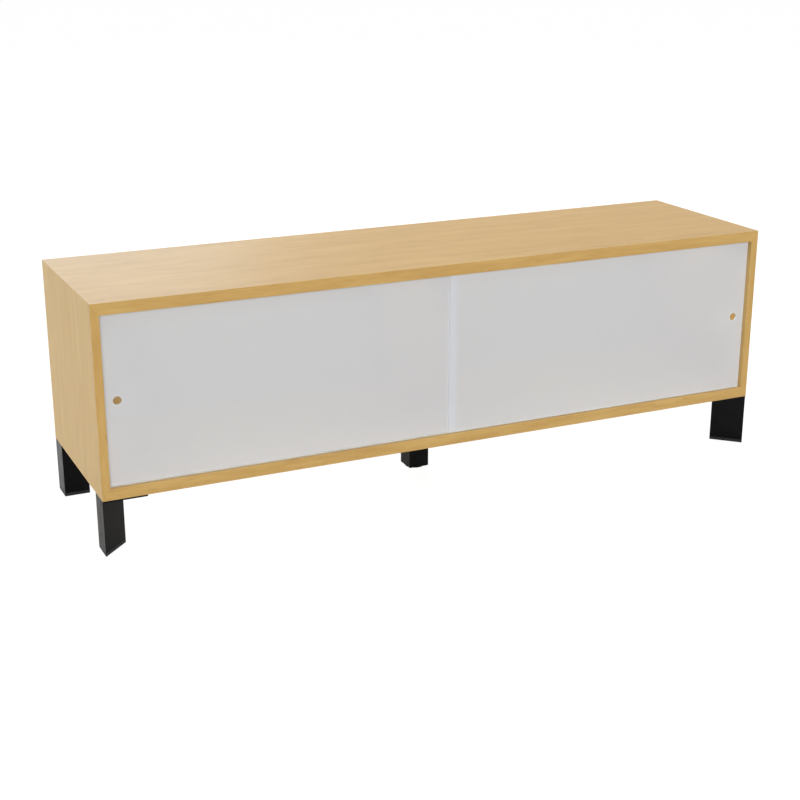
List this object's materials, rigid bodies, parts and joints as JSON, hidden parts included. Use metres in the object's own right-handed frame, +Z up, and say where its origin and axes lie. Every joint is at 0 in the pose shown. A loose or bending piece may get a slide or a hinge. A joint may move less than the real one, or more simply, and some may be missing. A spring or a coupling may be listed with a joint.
{
  "type": "sliding door cabinet",
  "caption": "Low wide cabinet in light wood with two opal sliding doors in a double track, on black steel corner legs and a square centre leg.",
  "frame": {"origin": "on the floor, under the middle of the cabinet: the bottom centre of its bounding box", "axes": "+X to the right along the width, +Y to the back, +Z up; the doors face -Y"},
  "size_m": [1.6, 0.42, 0.534],
  "materials": {
    "case_wood": "light veneer under satin lacquer",
    "back_board": "veneered plywood, matt",
    "joinery_wood": "bare wood",
    "opal_sheet": "opal acrylic sheet, satin",
    "track_plastic": "extruded ivory plastic",
    "black_steel": "black powder coat, satin",
    "black_plastic": "moulded black plastic",
    "leg_screws": "blackened steel",
    "back_screws": "zinc plated"
  },
  "bodies": {
    "case": {"top_panel": "case_wood", "bottom_panel": "case_wood", "left_side_panel": "case_wood", "right_side_panel": "case_wood", "centre_divider": "case_wood", "back_panel": "back_board", "mitre_spline_top_left": "joinery_wood", "mitre_spline_top_right": "joinery_wood", "mitre_spline_bottom_left": "joinery_wood", "mitre_spline_bottom_right": "joinery_wood", "divider_dowel_top_1": "joinery_wood", "divider_dowel_top_2": "joinery_wood", "divider_dowel_bottom_1": "joinery_wood", "divider_dowel_bottom_2": "joinery_wood", "back_panel_screw_1": "back_screws", "back_panel_screw_2": "back_screws", "back_panel_screw_3": "back_screws", "back_panel_screw_4": "back_screws", "back_panel_screw_5": "back_screws", "back_panel_screw_6": "back_screws", "back_panel_screw_7": "back_screws", "back_panel_screw_8": "back_screws", "back_panel_screw_9": "back_screws", "back_panel_screw_10": "back_screws", "lower_track": "track_plastic", "upper_track": "track_plastic", "front_left_leg_plate": "black_steel", "front_left_leg": "black_steel", "front_left_foot_cap": "black_plastic", "front_left_leg_screw_1": "leg_screws", "front_left_leg_screw_2": "leg_screws", "front_left_leg_screw_3": "leg_screws", "front_right_leg_plate": "black_steel", "front_right_leg": "black_steel", "front_right_foot_cap": "black_plastic", "front_right_leg_screw_1": "leg_screws", "front_right_leg_screw_2": "leg_screws", "front_right_leg_screw_3": "leg_screws", "rear_left_leg_plate": "black_steel", "rear_left_leg": "black_steel", "rear_left_foot_cap": "black_plastic", "rear_left_leg_screw_1": "leg_screws", "rear_left_leg_screw_2": "leg_screws", "rear_left_leg_screw_3": "leg_screws", "rear_right_leg_plate": "black_steel", "rear_right_leg": "black_steel", "rear_right_foot_cap": "black_plastic", "rear_right_leg_screw_1": "leg_screws", "rear_right_leg_screw_2": "leg_screws", "rear_right_leg_screw_3": "leg_screws", "centre_leg_plate": "black_steel", "centre_leg": "black_steel", "centre_leg_foot": "black_plastic", "centre_leg_screw_1": "leg_screws", "centre_leg_screw_2": "leg_screws", "centre_leg_screw_3": "leg_screws", "centre_leg_screw_4": "leg_screws"},
    "left_sliding_door": {"left_door": "opal_sheet"},
    "right_sliding_door": {"right_door": "opal_sheet"}
  },
  "joints": [
    {"name": "left_door_slide", "type": "slide", "parent": "case", "child": "left_sliding_door", "axis": [1, 0, 0], "range_m": [0, 0.7705]},
    {"name": "right_door_slide", "type": "slide", "parent": "case", "child": "right_sliding_door", "axis": [1, 0, 0], "range_m": [-0.7705, 0]}
  ]
}
